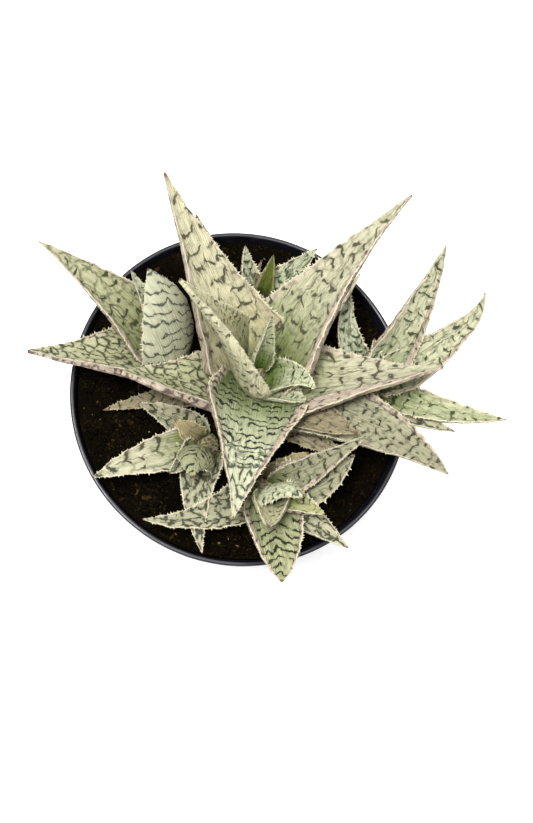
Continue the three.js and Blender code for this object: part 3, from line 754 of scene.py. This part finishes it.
def leaf_material(leaf, seed):
    look = {**PLAIN_LOOK, **LOOKS[leaf.look]}
    look.update({key: srgb(*look[key]) for key in LOOK_COLOURS})
    paint = Paint(leaf.name)
    across, distance, layer = paint.split(paint.attribute("leaf_place"))
    side, share, tooth = paint.split(paint.attribute("leaf_share"))
    apart = paint.times_plus(layer, FACES_APART, LEAVES_APART * seed + FIRST_PLACE)
    place = paint.join(paint.maths("ADD", across, apart), distance)
    long_place = paint.join(paint.maths("ADD", paint.times(across, 3.0), apart), distance)

    # The blade's own directions, wandering a little, so that no line is straight
    drift = [paint.maths("SUBTRACT", paint.noise(place, scale, 2.0), 0.5) for scale in DRIFT_SCALES]
    x = paint.maths("ADD", across, apart)
    x = paint.times_plus(drift[0], 5.0, paint.times_plus(drift[2], 1.8, x))
    y = paint.times_plus(drift[1], 7.0, paint.times_plus(drift[3], 2.2, distance))
    y = paint.times_plus(paint.maths("ABSOLUTE", across), look["vee"], y)
    y = paint.times_plus(across, look["skew"], y)
    turning = paint.times_plus(drift[0], 0.5, share)

    # A net of dark lines around pale islands, here strong and there faint, and rows of strokes
    strength = paint.noise(place, 0.3, 3.0)
    patch = paint.times(paint.ease(strength, look["cover"] - 0.08, look["cover"] + 0.06),
                        paint.ease(turning, *look["turn"]), look["net"])
    cells = [paint.times(value, 1 / size) for value, size in zip((x, y), look["cell"])]
    border = paint.cell_border(paint.join(*cells))
    width = paint.times(paint.ease(strength, 0.3, 0.7, 0.5, 1.4), look["line_width"])
    net = paint.times(paint.ease(paint.maths("DIVIDE", border, width), 1.0, 0.15), patch)
    net_shade = paint.times(paint.ease(border, 2.8 * look["line_width"], 0.0), patch)
    stroke, stroke_shade = leaf_rows(paint, look, x, y)
    rows = paint.times(paint.ease(turning, *look["row_end"], 1.0, 0.0), look["rows"])
    line = paint.most(net, paint.times(stroke, rows))
    shade = paint.most(net_shade, paint.times(stroke_shade, rows))
    shade = paint.times(shade, look["soft_share"])
    shade = paint.most(shade, paint.ease(border, 0.36, 0.04, 0.0, look["veil"]))

    # The strips along the margins where the underside has turned up, each with a painted shade line
    # along its crease
    turned_up, painted_crease_shade = layer, 0.0
    signed = paint.times(side, paint.maths("SIGN", across))
    for strip_share, direction in zip(leaf.strips, (1, -1)):
        if strip_share:
            past = paint.times_plus(signed, direction, strip_share - 1)
            past = paint.times_plus(drift[3], 0.2, past)
            turned_up = paint.most(turned_up, paint.ease(past, -0.02, 0.02))
            painted_crease_shade = paint.most(painted_crease_shade, paint.ease(paint.maths("ABSOLUTE", past), 0.05, 0.0))

    # The ground: pale, greener towards the root and along the middle, deep green in the heart, which is
    # partly the leaf's own colour and partly painted shade of the hollow there
    cloud = paint.maths("SUBTRACT", paint.noise(long_place, 0.13, 3.0), 0.5)
    near_root = paint.ease(paint.times_plus(cloud, -0.5, share), look["green_reach"], 0.0)
    middle = paint.times(paint.ease(side, 0.8, 0.1), look["middle_green"])
    ground = paint.mix(paint.most(near_root, middle), look["pale"], look["green"])
    ground = paint.mix(paint.ease(share, look["deep_green_and_shade_reach"], 0.0), ground, look["deep_green_and_shade"])
    near_margin = paint.ease(paint.times_plus(cloud, 0.3, side), 0.78, 0.92)
    strip = paint.times(near_margin, look["strip"])
    ground = paint.mix(paint.most(turned_up, strip), ground, look["under"])
    if look["blotches"]:
        blotch = paint.ease(paint.noise(long_place, 0.2, 2.0), 0.54, 0.6)
        ground = paint.mix(paint.times(blotch, look["blotches"]), ground, look["line"])
    ground = paint.mix(shade, ground, look["soft"])
    # Painted shade: a dark line along the crease of each turned-up strip
    ground = paint.mix(paint.times(painted_crease_shade, 0.5), ground, look["line"])

    # Fine streaks along the leaf, partly its own fine lines and partly painted shade in its furrows
    fine_line_and_furrow_noise_across = paint.times_plus(across, 2.4, apart)
    fine_line_and_furrow_noise = paint.noise(paint.join(fine_line_and_furrow_noise_across, paint.times(distance, 0.05)), 1.0)
    ground = paint.mix(paint.times(paint.ease(fine_line_and_furrow_noise, 0.58, 0.7), look["furrow_shade_and_streaks"]), ground, look["furrow_shade_and_streak"])
    ground = paint.mix(paint.ease(fine_line_and_furrow_noise, 0.45, 0.25, 0.0, 0.5), ground, look["margin"])
    colour = paint.mix(line, ground, paint.mix(turned_up, look["line"], look["under_line"]))

    # A horny pale margin with its teeth, and a dry point
    rim = paint.times(paint.ease(side, 0.975, 1.0), 0.6)
    colour = paint.mix(paint.most(rim, paint.times(tooth, 0.9)), colour, look["margin"])
    reach = look["point_length"] / Blade(leaf, np.array([0.0, 1.0])).length
    dry = paint.times_plus(cloud, 0.5 * reach, share)
    colour = paint.mix(paint.ease(dry, 1 - reach, 1 - 0.3 * reach), colour, look["point"])

    grain = paint.noise(paint.join(paint.times(x, 3.0), paint.times(distance, 0.6)), 1.0, 3.0)
    height = paint.times_plus(line, -0.8, paint.maths("ADD", grain, paint.times(fine_line_and_furrow_noise, 3.0)))
    normal = paint.bump(height, 0.8, 0.0006)
    rough = paint.ease(grain, 0.2, 0.8, look["gloss"] - 0.06, look["gloss"] + 0.1)
    return paint.finish(Base_Color=colour, Roughness=rough, Normal=normal, Specular_IOR_Level=0.3)


def make_leaves():
    for number, leaf in enumerate(LEAVES):
        points, faces, attributes = leaf_mesh(leaf, np.random.default_rng(LEAF_SEED + number))
        material = leaf_material(leaf, number)
        new_piece(leaf.name + "_blade", points, faces, material, [leaf.name], attributes)


# Turned solids
def turned(profile, segments, centre=lambda height: (0, 0)):
    """A profile of radius and height, from axis to axis, turned into a closed solid."""
    points = [(*centre(profile[0][1]), profile[0][1])]
    body = profile[1:-1]
    for radius, height in body:
        x, y = centre(height)
        for i in range(segments):
            angle = i * math.tau / segments
            points.append((x + radius * math.cos(angle), y + radius * math.sin(angle), height))
    points.append((*centre(profile[-1][1]), profile[-1][1]))
    return points, closed_faces(len(body), segments)


def arc(centre, radius, start, end, steps=6):
    angles = np.radians(np.linspace(start, end, steps + 1))
    return [(centre[0] + radius * math.cos(a), centre[1] + radius * math.sin(a)) for a in angles]


def pot_inside(height):
    base = POT_BASE_RADIUS - POT_WALL
    return base + (POT_TOP_RADIUS - LIP_WIDTH - base) * height / POT_HEIGHT


def stem_material():
    paint = Paint("stem_skin")
    place = paint.add("TexCoord", {}).outputs["Object"]
    x, y, z = paint.split(place)
    fibres = paint.noise(paint.join(x, y, paint.times(z, 0.2)), 900.0)
    colour = paint.mix(paint.ease(fibres, 0.35, 0.65), srgb(78, 70, 48), srgb(172, 162, 124))
    return paint.finish(Base_Color=colour, Roughness=0.6)


def make_stems():
    material = stem_material()
    for stem, (foot, head, radius) in STEMS.items():
        low = SOIL_EDGE - STEM_SOCKET
        tall = head[2] - SOIL_EDGE
        profile = [(0, low), (radius * STEM_ROOT_SHARE, low)]
        profile.append((radius * STEM_KNEE_SHARE, (low + SOIL_EDGE) / 2))
        for rise in np.linspace(0, STEM_END, STEM_RINGS):
            profile.append((radius * (1 - rise) ** STEM_ROUNDING, SOIL_EDGE + rise * tall))
        profile.append((0, head[2] - 0.5))

        def centre(height):
            rise = max((height - SOIL_EDGE) / tall, 0)
            return [foot[k] + (head[k] - foot[k]) * rise for k in (0, 1)]

        points, faces = turned(profile, STEM_SEGMENTS, centre)
        new_piece(stem + "_stem_flesh", points, faces, material, [stem + "_stem"])


def pot_material():
    paint = Paint("pot_plastic")
    place = paint.add("TexCoord", {}).outputs["Object"]
    x, y, z = paint.split(place)
    scuff = paint.noise(paint.join(x, y, paint.times(z, 0.2)), 90.0, 4.0)
    dust = paint.noise(place, 160.0, 5.0, 0.6)
    colour = paint.mix(paint.ease(dust, 0.55, 0.8, 0.0, 0.5), srgb(16, 16, 24), srgb(52, 52, 60))
    rough = paint.ease(scuff, 0.3, 0.7, 0.26, 0.44)
    return paint.finish(Base_Color=colour, Roughness=rough, Normal=paint.bump(scuff, 0.08, 0.0005))


def pot_ring(radius, height):
    step = math.tau / POT_SEGMENTS
    turns = [i * step for i in range(POT_SEGMENTS)]
    return [(radius * math.cos(turn), radius * math.sin(turn), height) for turn in turns]


def add_pot_base(points, faces, inside):
    """Adds the two faces of the base: a ring with the drain holes, around a whole disc.

    inside is the index of the first point of the ring that ends the wall inside the pot.
    """
    step = math.tau / POT_SEGMENTS
    start = {}
    for height in (0, POT_FLOOR):
        start[height] = len(points)
        points += [*pot_ring(DRAIN_RING - DRAIN_BAND, height), (0, 0, height)]
    whole = {0: 0, POT_FLOOR: inside}
    for height, flip in ((0, -1), (POT_FLOOR, 1)):
        hub = start[height] + POT_SEGMENTS
        for i in range(POT_SEGMENTS):
            after = (i + 1) % POT_SEGMENTS
            faces.append((start[height] + i, start[height] + after, hub)[::flip])
    per_hole = POT_SEGMENTS // DRAIN_COUNT
    for hole in range(DRAIN_COUNT):
        middle = (hole + 0.5) * per_hole * step
        centre = (DRAIN_RING * math.cos(middle), DRAIN_RING * math.sin(middle))
        around = [hole * per_hole + i for i in range(per_hole + 1)]
        walls = []
        for height, flip in ((0, 1), (POT_FLOOR, -1)):
            edge = [whole[height] + i % POT_SEGMENTS for i in around]
            edge += [start[height] + i % POT_SEGMENTS for i in reversed(around)]
            circle = []
            for index in edge:
                x, y = points[index][0] - centre[0], points[index][1] - centre[1]
                share = DRAIN_RADIUS / math.hypot(x, y)
                circle.append(len(points))
                points.append((centre[0] + x * share, centre[1] + y * share, height))
            for i in range(len(edge)):
                after = (i + 1) % len(edge)
                faces.append((edge[i], edge[after], circle[after], circle[i])[::-flip])
            walls.append(circle)
        for i in range(len(walls[0])):
            after = (i + 1) % len(walls[0])
            faces.append((walls[0][i], walls[0][after], walls[1][after], walls[1][i])[::-1])


def make_pot():
    """The pot's wall and lip, open at the drain holes in its base."""
    under_lip = POT_HEIGHT - LIP_DROP
    lip_centre = POT_TOP_RADIUS - LIP_ROUND
    inner_round = LIP_WIDTH / 2 - LIP_SLACK
    inner_centre = pot_inside(POT_HEIGHT) + inner_round
    outer_ring = DRAIN_RING + DRAIN_BAND
    profile = [(outer_ring, 0), *arc((POT_BASE_RADIUS - FOOT_ROUND, FOOT_ROUND), FOOT_ROUND, -90, 0)]
    profile += [(pot_inside(h) + POT_WALL, h) for h in np.linspace(WALL_FROM, under_lip, WALL_RINGS)]
    profile += arc((lip_centre, under_lip + LIP_ROUND), LIP_ROUND, -90, 0)
    profile += arc((lip_centre, POT_HEIGHT - LIP_ROUND), LIP_ROUND, 0, 90)
    profile += arc((inner_centre, POT_HEIGHT - inner_round), inner_round, 90, 180)
    profile += [(pot_inside(h), h) for h in np.linspace(POT_HEIGHT - 3, POT_FLOOR + 2, WALL_RINGS)]
    profile += [(pot_inside(POT_FLOOR) - 1, POT_FLOOR), (outer_ring, POT_FLOOR)]
    points, faces = [], []
    for radius, height in profile:
        points += pot_ring(radius, height)
    for here in range(0, (len(profile) - 1) * POT_SEGMENTS, POT_SEGMENTS):
        faces += band(here, here + POT_SEGMENTS, POT_SEGMENTS)
    add_pot_base(points, faces, (len(profile) - 1) * POT_SEGMENTS)
    new_piece("nursery_pot", points, faces, pot_material(), ["pot"])


# The potting mix
def soil_height(x, y):
    """The lie of the mix, raised a little against the wall of the pot."""
    share = np.hypot(x, y) / pot_inside(SOIL_EDGE)
    bank = smooth((share - 0.7) / 0.25) * (0.6 + 0.4 * np.sin(np.arctan2(y, x) - 0.2))
    lie = SOIL_EDGE + SOIL_LIFT + SOIL_BANK * bank
    lumps = LUMP_HEIGHT * SOIL_LUMPS(x, y) + GRAIN_HEIGHT * SOIL_GRAIN(x, y)
    return lie + lumps * smooth((1 - share) / 0.02)


def soil_material():
    paint = Paint("potting_mix")
    place = paint.add("TexCoord", {}).outputs["Object"]
    tint, _, _ = paint.split(paint.attribute("grain_tint"))
    colour = paint.mix(paint.noise(place, 700.0, 4.0), srgb(2, 1, 0), srgb(14, 11, 6))
    bits = paint.times(paint.ease(paint.noise(place, 1500.0, 2.0), 0.58, 0.66),
                       paint.ease(paint.noise(place, 60.0, 3.0), 0.42, 0.62))
    colour = paint.mix(bits, colour, srgb(40, 31, 16))
    colour = paint.mix(paint.ease(tint, 0.2, 0.6), colour, srgb(44, 33, 16))
    colour = paint.mix(paint.ease(tint, 0.6, 0.8), colour, srgb(116, 94, 54))
    colour = paint.mix(paint.ease(tint, 0.9, 0.92), colour, srgb(120, 150, 40))
    colour = paint.mix(paint.ease(tint, 0.97, 0.99), colour, srgb(214, 210, 200))
    normal = paint.bump(paint.noise(place, 1800.0, 3.0), 0.5, 0.0003)
    return paint.finish(Base_Color=colour, Roughness=1.0, Normal=normal, Specular_IOR_Level=0.02)


def soil_body():
    low = POT_FLOOR + SOIL_GAP
    wall = [(pot_inside(h) - SOIL_GAP, h) for h in (low, SOIL_EDGE - 3)]
    points = [(0, 0, low)]
    rings = [(radius, lambda x, y, h=height: h + 0 * x) for radius, height in wall]
    edge = pot_inside(SOIL_EDGE) - SOIL_GAP
    rings += [(edge * share, soil_height) for share in np.linspace(1, 0.02, SOIL_RINGS)]
    angles = np.linspace(0, math.tau, SOIL_SEGMENTS, endpoint=False)
    for radius, height in rings:
        x, y = radius * np.cos(angles), radius * np.sin(angles)
        points += list(zip(x, y, height(x, y)))
    points.append((0, 0, float(soil_height(0.0, 0.0))))
    return points, closed_faces(len(rings), SOIL_SEGMENTS)


def spot_on_soil(random, outer=0.99):
    """A random place on the mix, with more of them near the wall, where it shows."""
    radius = (pot_inside(SOIL_EDGE) - 1.5) * outer * random.uniform(0.12, 1) ** 0.6
    angle = random.uniform(0, math.tau)
    return radius * math.cos(angle), radius * math.sin(angle)


def crumb(random, size, flat, long):
    """A lump with an uneven skin: an octahedron split once, pulled about."""
    count = (len(CRUMB_POINTS), 1)
    base = CRUMB_POINTS * random.uniform(0.7, 1.3, count)
    base = unit(base + random.normal(0, 0.12, CRUMB_POINTS.shape))
    base = base * random.uniform(0.75, 1.25, count)
    shape = base * np.array([long, 1, flat]) * size
    tilt, turn = random.normal(0, 0.45), random.uniform(0, math.tau)
    spin = Matrix.Rotation(turn, 3, "Z") @ Matrix.Rotation(tilt, 3, "X")
    return shape @ np.array(spin).T


def crumb_template():
    corners = [(1, 0, 0), (-1, 0, 0), (0, 1, 0), (0, -1, 0), (0, 0, 1), (0, 0, -1)]
    triangles = [(0, 2, 4), (2, 1, 4), (1, 3, 4), (3, 0, 4), (2, 0, 5), (1, 2, 5), (3, 1, 5), (0, 3, 5)]
    points, middle, faces = [np.array(c, float) for c in corners], {}, []

    def between(a, b):
        key = (min(a, b), max(a, b))
        if key not in middle:
            middle[key] = len(points)
            points.append(unit(points[a] + points[b]))
        return middle[key]

    for a, b, c in triangles:
        ab, bc, ca = between(a, b), between(b, c), between(c, a)
        faces += [(a, ab, ca), (b, bc, ab), (c, ca, bc), (ab, bc, ca)]
    return np.array(points), faces


def fibre(random, length, thick):
    """A thin root fibre or splinter, curved and lying on the mix."""
    turn, bend = random.uniform(0, math.tau), random.normal(0, 0.7)
    x, y = spot_on_soil(random, 0.97)
    points = []
    for step in range(FIBRE_STEPS + 1):
        share = step / FIBRE_STEPS
        heading = turn + bend * share
        if step:
            x += math.cos(heading) * length / FIBRE_STEPS
            y += math.sin(heading) * length / FIBRE_STEPS
        limit = pot_inside(SOIL_EDGE) - 1
        reach = math.hypot(x, y)
        if reach > limit:
            x, y = x * limit / reach, y * limit / reach
        z = float(soil_height(x, y)) + 0.25 + 0.9 * math.sin(math.pi * share)
        radius = thick * (0.35 + 0.65 * math.sin(math.pi * (0.1 + 0.8 * share)))
        for side in range(FIBRE_SIDES):
            angle = side * math.tau / FIBRE_SIDES
            points.append((x - math.sin(heading) * radius * math.cos(angle),
                           y + math.cos(heading) * radius * math.cos(angle),
                           z + radius * math.sin(angle)))
    last = FIBRE_STEPS * FIBRE_SIDES
    faces = [(3, 2, 1, 0), tuple(last + i for i in range(FIBRE_SIDES))]
    for here in range(0, last, FIBRE_SIDES):
        faces += band(here, here + FIBRE_SIDES, FIBRE_SIDES)
    return points, faces


def make_soil():
    random = np.random.default_rng(SOIL_SEED)
    points, faces = soil_body()
    tints = [0.0] * len(points)

    def join(more, more_faces, tint):
        start = len(points)
        points.extend(more)
        faces.extend(tuple(start + i for i in face) for face in more_faces)
        tints.extend([tint] * len(more))

    for size, count, tint_from, tint_to, flat, long in SOIL_CRUMB_KINDS:
        for _ in range(count):
            x, y = spot_on_soil(random)
            radius = size * random.uniform(0.5, 1.5)
            centre = (x, y, float(soil_height(x, y)) + CRUMB_LIFT * radius)
            lump = crumb(random, radius, flat, long) + centre
            join(lump, CRUMB_FACES, random.uniform(tint_from, tint_to))
    for _ in range(SOIL_FIBRES):
        more, more_faces = fibre(random, random.uniform(1.5, 6), random.uniform(0.1, 0.26))
        join(more, more_faces, random.uniform(0.3, 0.65))
    attributes = {"grain_tint": [(tint, 0, 0) for tint in tints]}
    new_piece("potting_mix", points, faces, soil_material(), ["soil"], attributes)


def make_floor():
    mesh = bpy.data.meshes.new("floor")
    signs = ((-1, -1), (1, -1), (1, 1), (-1, 1))
    mesh.from_pydata([(x * FLOOR_SIZE, y * FLOOR_SIZE, 0) for x, y in signs], [], [(0, 1, 2, 3)])
    white = Paint("floor_white").finish(Base_Color=FLOOR_WHITE, Roughness=0.9,
                                        Emission_Color=FLOOR_WHITE, Emission_Strength=FLOOR_GLOW)
    mesh.materials.append(white)
    floor = bpy.data.objects.new("floor", mesh)
    bpy.context.scene.collection.objects.link(floor)


def make_camera():
    lean, bearing = CAMERA_LEAN, CAMERA_BEARING
    flat = math.sin(lean)
    forward = Vector((flat * math.cos(bearing), flat * math.sin(bearing), -math.cos(lean)))
    across = Vector((math.sin(bearing), -math.cos(bearing), 0.0))
    tilt = Matrix.Rotation(lean, 3, across)
    data = bpy.data.cameras.new("camera")
    data.lens = CAMERA_LENS
    data.clip_end = 100
    camera = bpy.data.objects.new("camera", data)
    axes = Matrix((tilt @ Vector((1, 0, 0)), tilt @ Vector((0, 1, 0)), -forward)).transposed()
    place = (Vector(CAMERA_AIM) - forward * CAMERA_DISTANCE) * METRE
    camera.matrix_world = Matrix.Translation(place) @ axes.to_4x4()
    bpy.context.scene.collection.objects.link(camera)
    bpy.context.scene.camera = camera


def make_light():
    world = bpy.data.worlds.new("studio")
    world.use_nodes = True
    background = world.node_tree.nodes["Background"]
    background.inputs["Color"].default_value = (1, 1, 1, 1)
    background.inputs["Strength"].default_value = WORLD_STRENGTH
    bpy.context.scene.world = world
    for name, spot, size, power in LAMPS:
        data = bpy.data.lights.new(name, "AREA")
        data.size = size
        data.energy = power
        lamp = bpy.data.objects.new(name, data)
        lamp.location = spot
        towards = Vector(LAMP_AIM) - Vector(spot)
        lamp.rotation_euler = towards.to_track_quat("-Z", "Y").to_euler()
        bpy.context.scene.collection.objects.link(lamp)
    bpy.context.scene.view_settings.view_transform = "Standard"


SOIL_LUMPS = Waves(np.random.default_rng(SOIL_SEED + 1), 14, 14, 9)
SOIL_GRAIN = Waves(np.random.default_rng(SOIL_SEED + 2), 4, 4, 9)
CRUMB_POINTS, CRUMB_FACES = crumb_template()

make_camera()
make_light()
make_floor()
make_pot()
make_soil()
make_stems()
make_leaves()
